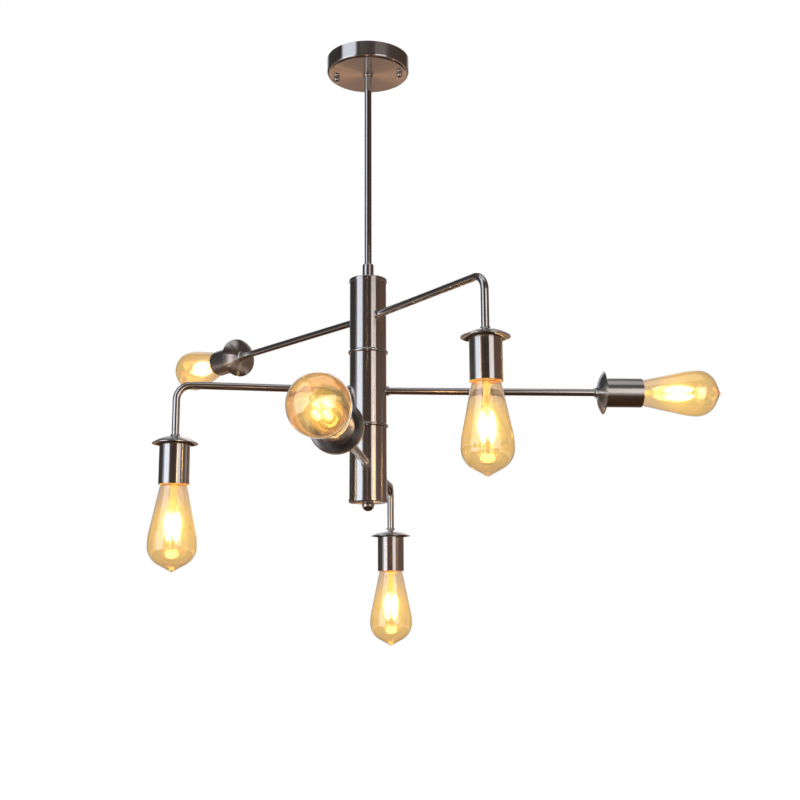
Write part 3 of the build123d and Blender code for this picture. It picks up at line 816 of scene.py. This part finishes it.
    def stem(self) -> None:
        """Glass stem: a flare sealed to the neck, a tube and a rounded cap at the pinch that holds the wires.
        """
        foot = self.tip - self.drop.neck
        pinch = self.tip - self.stem_tip
        slim = self.stem_radius * self.pinch_taper
        sealed = Shape.bend((self.drop.neck_radius - self.stem_gap, foot), (self.stem_radius, foot + 1 * MM),
                            (self.stem_radius, foot + self.flare))
        tube = np.linspace((self.stem_radius, foot + self.flare), (slim, pinch - self.pinch), 6)
        cap = Shape.bend((slim, pinch - self.pinch), (self.stem_radius * 0.75, pinch), (0.2 * MM, pinch))
        glass = Shape.lathe(f"{self.name}_stem", np.concatenate([sealed, tube[1:], cap[1:]]), self.place, 40)
        self.finish_piece(glass, STEM_GLASS, self.name)
        glass.visible_shadow = False

    def filaments(self) -> None:
        """Upright lit sticks in a ring, with wires from the stem above and a joining wire below each."""
        top = self.tip - self.filament_top
        low = top + self.filament_length
        pinch = self.tip - self.stem_tip
        sticks, wires = [], []
        for index, out in enumerate(self.spokes()):
            ring = out * self.filament_ring
            foot = ring * self.filament_lean
            ends = np.linspace(ring + (0, 0, top), foot + (0, 0, low), 10)
            sticks.append(Shape.tube(f"{self.name}_stick_{index}", ends, self.filament_radius, self.place))
            above = Shape.bend(out * self.stem_radius * 0.4 + (0, 0, pinch - self.wire_dip),
                               ring + (0, 0, pinch), ring + (0, 0, top), 8)
            below = Shape.bend(foot + (0, 0, low), ring * 0.6 + (0, 0, low + self.wire_dip),
                               (0, 0, low + self.wire_dip / 2), 8)
            for kind, path in (("wire", above), ("link", below)):
                wires.append(Shape.tube(f"{self.name}_{kind}_{index}", path, self.wire_radius, self.place, 8))
        lit = Shape.join(f"{self.name}_filament_set", sticks)
        leads = Shape.join(f"{self.name}_lead_wires", wires)
        self.finish_piece(lit, FILAMENT, self.name)
        self.finish_piece(leads, LEAD_WIRE, self.name)
        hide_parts(f"{self.name}_filaments")

    def glow(self) -> None:
        """Bloom of the lit filaments: slim spindles round the sticks, and two wide soft ones round them all.

        A spindle's radius follows a half ellipse along its length, and it gives off light evenly all through.
        """
        t = np.linspace(-1, 1, 24)
        bow = np.sqrt(1 - t**2) + 1e-4
        halos = []
        for index, out in enumerate(self.spokes()):
            side = Vector(out * self.filament_ring * self.halo_ring)
            beside = AxisFrame(self.place.matrix() @ side, self.place.along)
            along = self.middle - self.halo_shift + self.filament_length * self.halo_reach * t
            outline = np.stack([self.halo_radius * bow, along], axis=-1)
            halos.append(Shape.lathe(f"{self.name}_halo_{index}", outline, beside, 20))
        clouds = [(Shape.join(f"{self.name}_halos", halos), HALO)]
        for name, radius, light in (("bloom", self.bloom_radius, BLOOM), ("haze", self.haze_radius, HAZE)):
            along = self.middle - self.glow_shift + radius * self.glow_stretch * t
            outline = np.stack([radius * bow, along], axis=-1)
            clouds.append((Shape.lathe(f"{self.name}_{name}", outline, self.place, 40), light))
        for piece, light in clouds:
            piece.data.materials.append(light.material(self.levels.get(light.name, 1.0)))
            piece.visible_shadow = False
            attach(piece, self.name)

    def lamp(self) -> None:
        """Warm point lamp among the filaments."""
        light = bpy.data.lights.new(f"{self.name}_lamp", "POINT")
        light.energy = self.lamp_power
        light.color = self.lamp_colour
        light.shadow_soft_size = self.lamp_radius
        lamp = bpy.data.objects.new(f"{self.name}_lamp", light)
        lamp.visible_camera = lamp.visible_transmission = False
        lamp.location = self.place.matrix() @ Vector((0, 0, self.middle))
        bpy.context.scene.collection.objects.link(lamp)
        lamp.parent = frame["bodies"][self.name]


@dataclass(frozen=True)
class Tier:
    """One tier of the column: its metal nodes, and its two lamps."""

    name: str
    bulbs: tuple[Bulb, ...]
    bend: float = 20.0 * MM

    def dress(self) -> None:
        """Finish the tier's column tube, arms and lamps, and build its bulbs."""
        arm_height = sum(corner.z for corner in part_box(f"{self.name}_straight_arm")) / 2
        finish_node(f"{self.name}_segment", SATIN_NICKEL)
        finish_node(f"{self.name}_arm_nuts", SATIN_NICKEL)
        for bulb in self.bulbs:
            lamp = bulb.name.removesuffix("_bulb")
            level = Vector((bulb.place.origin.x, bulb.place.origin.y, 0)).normalized()
            hangs = abs(bulb.place.along.z) > 0.5
            corner = Vector((bulb.place.origin.x, bulb.place.origin.y, arm_height))
            arm = AxisFrame(corner, level, bulb.place.along if hangs else None, self.bend)
            finish_node(f"{lamp}_arm", ARM_NICKEL, arm)
            finish_node(f"{lamp}_disc", SATIN_NICKEL, bulb.place)
            finish_node(f"{lamp}_cup", SATIN_NICKEL if hangs else SOFT_NICKEL, bulb.place)
            bulb.build()
        finish_node(f"{self.name}_lampholders", PORCELAIN)
        finish_node(f"{self.name}_screw_shells", BRASS)


@dataclass(frozen=True)
class Fixture:
    """The parts that hang from the ceiling and do not turn."""

    turned: tuple[str, ...] = ("canopy", "stem_collar", "top_cap", "column_beads", "bottom_cap")
    drawn: tuple[str, ...] = ("stem",)
    polished: tuple[str, ...] = ("ball_nuts", "ball_finial")
    plain: tuple[str, ...] = ("crossbar", "canopy_screws", "stem_nuts", "centre_rod")
    stem_radius: float = 5.0 * MM
    ring_radius: float = 7.2 * MM
    ring_height: float = 3.4 * MM
    ring_edge: tuple[float, float] = (1.6 * MM, 2.2 * MM)
    ring_bore_gap: float = 0.03 * MM
    ring_top_gap: float = 0.02 * MM

    def stem_ring(self) -> None:
        """Small ring under the canopy where the stem goes in: a closed section with a rounded lower edge."""
        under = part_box("canopy")[0].z - self.ring_top_gap
        low = under - self.ring_height
        bore = self.stem_radius + self.ring_bore_gap
        edge = Shape.bend((self.ring_radius - self.ring_edge[0], low), (self.ring_radius, low),
                          (self.ring_radius, low + self.ring_edge[1]), 10)
        outline = np.concatenate([[(bore, low)], edge, [(self.ring_radius, under), (bore, under)]])
        ring = Shape.lathe("stem_ring", outline, WORLD_AXIS, 64, close=True)
        ring.data.materials.append(BALL_NICKEL.material())
        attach(ring, "ceiling_fixture")

    def dress(self) -> None:
        """Finish the fixed nodes and add the stem's ring."""
        self.stem_ring()
        for nodes, finish in ((self.turned, SATIN_NICKEL), (self.drawn, STEM_NICKEL),
                              (self.polished, BALL_NICKEL), (self.plain, ZINC_STEEL)):
            for node in nodes:
                finish_node(node, finish)


def finish_node(node: str, finish: Finish, place: AxisFrame = WORLD_AXIS) -> None:
    """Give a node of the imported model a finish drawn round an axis."""
    tag = "" if place is WORLD_AXIS else node
    materials = frame["nodes"][node].data.materials
    materials.clear()
    materials.append(finish.material(place, tag))


@dataclass(frozen=True)
class Softbox:
    """A large soft lamp that faces the column, placed as seen from the column towards the camera."""

    name: str
    azimuth: float
    elevation: float
    distance: float
    width: float
    height: float
    radiance: float
    tint: Colour = (1.0, 1.0, 1.0)

    def build(self, target: Vector, camera_azimuth: float) -> None:
        """Place the lamp.

        Args:
            target: the point that it faces.
            camera_azimuth: the camera's direction from the column, in degrees from minus Y.
        """
        light = bpy.data.lights.new(self.name, "AREA")
        light.shape = "RECTANGLE"
        light.size, light.size_y = self.width, self.height
        light.energy = self.radiance * math.pi * self.width * self.height
        light.color = self.tint
        turn = math.radians(camera_azimuth + self.azimuth)
        rise = math.radians(self.elevation)
        towards = Vector((math.sin(turn) * math.cos(rise), -math.cos(turn) * math.cos(rise), math.sin(rise)))
        lamp = bpy.data.objects.new(self.name, light)
        lamp.location = target + towards * self.distance
        lamp.rotation_euler = towards.to_track_quat("Z", "Y").to_euler()
        lamp.visible_camera = False
        lamp.visible_transmission = abs(self.azimuth) < 90
        bpy.context.scene.collection.objects.link(lamp)


SOFTBOXES = (
    Softbox("left_softbox", -53.0, 16.0, 2.2, 1.45, 3.4, 0.92, (0.82, 0.89, 1.0)),
    Softbox("left_scrim", -58.0, -4.0, 2.3, 2.4, 1.45, 0.34, (0.86, 0.92, 1.0)),
    Softbox("right_softbox", 35.0, 4.5, 2.4, 1.2, 1.4, 1.0, (1.0, 0.97, 0.97)),
    Softbox("rear_left_softbox", -166.0, 27.0, 2.4, 1.2, 2.0, 0.55, (0.86, 0.92, 1.0)),
    Softbox("rear_right_softbox", 166.0, 27.0, 2.4, 1.2, 2.0, 0.55, (1.0, 0.97, 0.97)),
    Softbox("top_softbox", 22.0, 74.0, 2.1, 2.2, 1.6, 0.42, (1.0, 0.98, 0.97)),
)


@dataclass(frozen=True)
class Studio:
    """Floor, surroundings, soft lamps and the camera at the photograph's place."""

    camera_azimuth: float = 7.94
    standoff: float = 1533.8 * MM
    aside: float = 43.4 * MM
    below_ceiling: float = 782.8 * MM
    pitch: float = 10.52
    roll: float = -0.31
    focal_pixels: float = 1145.5
    floor_drop: float = 1.1
    floor_radius: float = 2.6
    floor_lift: Colour = (0.56, 0.57, 0.59)
    room_radius: float = 3.2
    room_height: float = 2.0
    low_wall: float = -0.70
    wall_change: float = 0.60
    low_grey: Colour = (0.24, 0.20, 0.175)
    low_brown: Colour = (0.34, 0.205, 0.133)
    wall_columns: int = 49
    ground_rise: float = 0.01
    ambient: Colour = (0.30, 0.28, 0.26)

    def build(self, column_middle: Vector, object_low: float) -> None:
        """Set up everything round the object.

        Args:
            column_middle: what the soft lamps face.
            object_low: height of the object's lowest point.
        """
        self.surroundings()
        self.floor(object_low - self.floor_drop)
        self.room(object_low - self.floor_drop)
        for box in SOFTBOXES:
            box.build(column_middle, self.camera_azimuth)
        self.camera()

    def surroundings(self) -> None:
        """White where the camera, glass and gloss see it, and a dim warm grey for all other light."""
        world = bpy.data.worlds.new("studio")
        bpy.context.scene.world = world
        world.use_nodes = True
        graph = Graph(world.node_tree)
        nodes = world.node_tree.nodes
        graph.feed(nodes["Background"].inputs["Color"], self.ambient)
        white = graph.add("ShaderNodeBackground")
        graph.feed(white.inputs["Color"], (1.0, 1.0, 1.0))
        mix = graph.add("ShaderNodeMixShader")
        for entry, source in enumerate((graph.seen(), nodes["Background"].outputs[0], white.outputs[0])):
            graph.feed(mix.inputs[entry], source)
        graph.feed(nodes["World Output"].inputs["Surface"], mix.outputs[0])
        bpy.context.scene.view_settings.view_transform = "Standard"

    def room(self, floor_height: float) -> None:
        """Dim walls, ground and ceiling that only reflections see, open to the white behind the object.

        The walls are parts of a cylinder round the column, the camera at their middle. The low one closes
        their gap behind the object.

        Args:
            floor_height: the floor's height.
        """
        height = np.linspace(floor_height, self.room_height, 9)
        lower = np.linspace(floor_height, self.wall_change, 6)
        upper = np.linspace(self.wall_change, self.room_height, 4)
        low = np.linspace(floor_height, self.low_wall, 4)
        pieces = []
        for name, start, stop, level, tone, shade in (
            ("left_wall", -168.0, -89.0, height, (0.030, 0.028, 0.026), self.low_grey),
            ("front_wall", -89.0, 18.0, lower, (0.036, 0.022, 0.017), self.low_grey),
            ("upper_front_wall", -89.0, 18.0, upper, (0.018, 0.012, 0.010), self.low_grey),
            ("right_wall", 18.0, 168.0, lower, (0.092, 0.056, 0.040), self.low_grey),
            ("upper_right_wall", 18.0, 168.0, upper, (0.045, 0.030, 0.024), self.low_grey),
            ("low_wall", 135.0, 225.0, low, (0.092, 0.056, 0.040), self.low_brown),
        ):
            angle = np.radians(np.linspace(start, stop, self.wall_columns) + self.camera_azimuth)
            across, deep = self.room_radius * np.sin(angle), -self.room_radius * np.cos(angle)
            points = np.stack(np.broadcast_arrays(across, deep, level[:, None]), axis=-1)
            wall = Shape.grid_mesh(name, points, close_columns=False, smooth=False)
            pieces.append((wall, wall_paint(name, tone, shade)))
        for name, level, finish in (("ground", floor_height + self.ground_rise, GROUND),
                                    ("ceiling", self.room_height, CEILING)):
            pieces.append((Shape.disc(name, self.room_radius, level), finish))
        for piece, finish in pieces:
            piece.data.materials.append(finish.material())
            piece.visible_camera = piece.visible_diffuse = False
            piece.visible_transmission = piece.visible_shadow = False
            piece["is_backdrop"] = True

    def floor(self, height: float) -> None:
        """Round pale floor below the object, lifted towards the white backdrop where it is seen."""
        floor = Shape.disc("floor", self.floor_radius, height)
        paint = FLOOR.material()
        floor.data.materials.append(paint)
        graph = Graph(paint.node_tree)
        shader = paint.node_tree.nodes["Principled BSDF"]
        graph.feed(shader.inputs["Emission Color"], self.floor_lift)
        graph.feed(shader.inputs["Emission Strength"], graph.seen())
        floor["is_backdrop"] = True

    def camera(self) -> None:
        """Camera at the photograph's viewpoint."""
        data = bpy.data.cameras.new("photo_camera")
        data.sensor_width = SENSOR
        data.lens = self.focal_pixels / IMAGE_SIDE * SENSOR
        turn = math.radians(self.camera_azimuth)
        right = Vector((math.cos(turn), math.sin(turn), 0))
        ahead = Vector((-math.sin(turn), math.cos(turn), 0))
        camera = bpy.data.objects.new("photo_camera", data)
        bpy.context.scene.collection.objects.link(camera)
        place = right * self.aside - ahead * self.standoff - Vector((0, 0, self.below_ceiling))
        look = ahead * math.cos(math.radians(self.pitch)) + Vector((0, 0, math.sin(math.radians(self.pitch))))
        up = right.cross(look)
        turned = Matrix((right, up, -look)).transposed().to_4x4()
        roll = Matrix.Rotation(math.radians(self.roll), 4, "Z")
        camera.matrix_world = Matrix.Translation(place) @ turned @ roll
        bpy.context.scene.camera = camera


def lay_out_tiers() -> list[Tier]:
    """Read each lamp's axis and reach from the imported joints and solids.

    Returns:
        The tiers from the top down, with their bulbs.
    """
    tiers: dict[str, list[Bulb]] = {}
    for joint in frame["joints"]:
        if not joint["name"].endswith("_bulb_turn"):
            continue
        name = joint["child"]
        place = AxisFrame(Vector(joint["pos_m"]), Vector(joint["axis"]).normalized())
        inverse = place.matrix().inverted()
        reach = {}
        for part in ("glass", "base"):
            mesh = frame["nodes"][f"{name}_{part}"].data
            reach[part] = [(inverse @ vertex.co).z for vertex in mesh.vertices]
        tier = name.split("_")[0]
        levels = LEVELS.get(name, {})
        bulb = Bulb(name, tier, place, max(reach["glass"]), min(reach["base"]), levels=levels)
        tiers.setdefault(tier, []).append(bulb)
    return [Tier(name, tuple(bulbs)) for name, bulbs in tiers.items()]


def main() -> None:
    """Dress the fixture and its tiers, set up the studio and report."""
    logging.basicConfig(level=logging.INFO)
    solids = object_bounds()
    Fixture().dress()
    tiers = lay_out_tiers()
    for tier in tiers:
        tier.dress()
        log.info("%s tier: %d bulbs", tier.name, len(tier.bulbs))
    segment_low, segment_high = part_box("middle_segment")
    Studio().build((segment_low + segment_high) / 2, solids[0][2])


if __name__ == "__main__":
    main()
